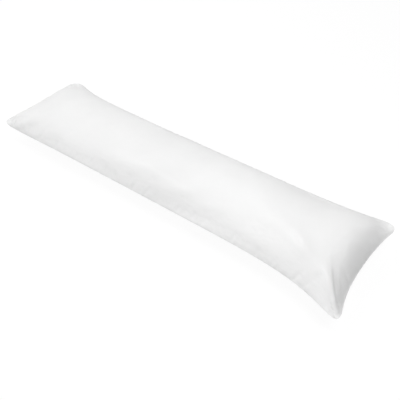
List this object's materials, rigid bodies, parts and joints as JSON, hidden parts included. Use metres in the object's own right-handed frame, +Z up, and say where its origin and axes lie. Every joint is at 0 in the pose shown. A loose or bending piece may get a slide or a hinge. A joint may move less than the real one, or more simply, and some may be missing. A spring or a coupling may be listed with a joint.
{
  "type": "body pillow",
  "caption": "Long filled side-sleeper pillow of plain white woven cloth with a knife-edge seam, lying flat.",
  "frame": {"origin": "on the surface that the pillow lies on, below the middle of the pillow's box", "axes": "+X along the pillow towards its near end in the picture, -Y towards its near long side, +Z up"},
  "size_m": [1.4196, 0.3778, 0.1584],
  "materials": {
    "white_cloth": "matt, smooth plain weave"
  },
  "bodies": {
    "root": {"body_pillow": "white_cloth"}
  },
  "joints": []
}
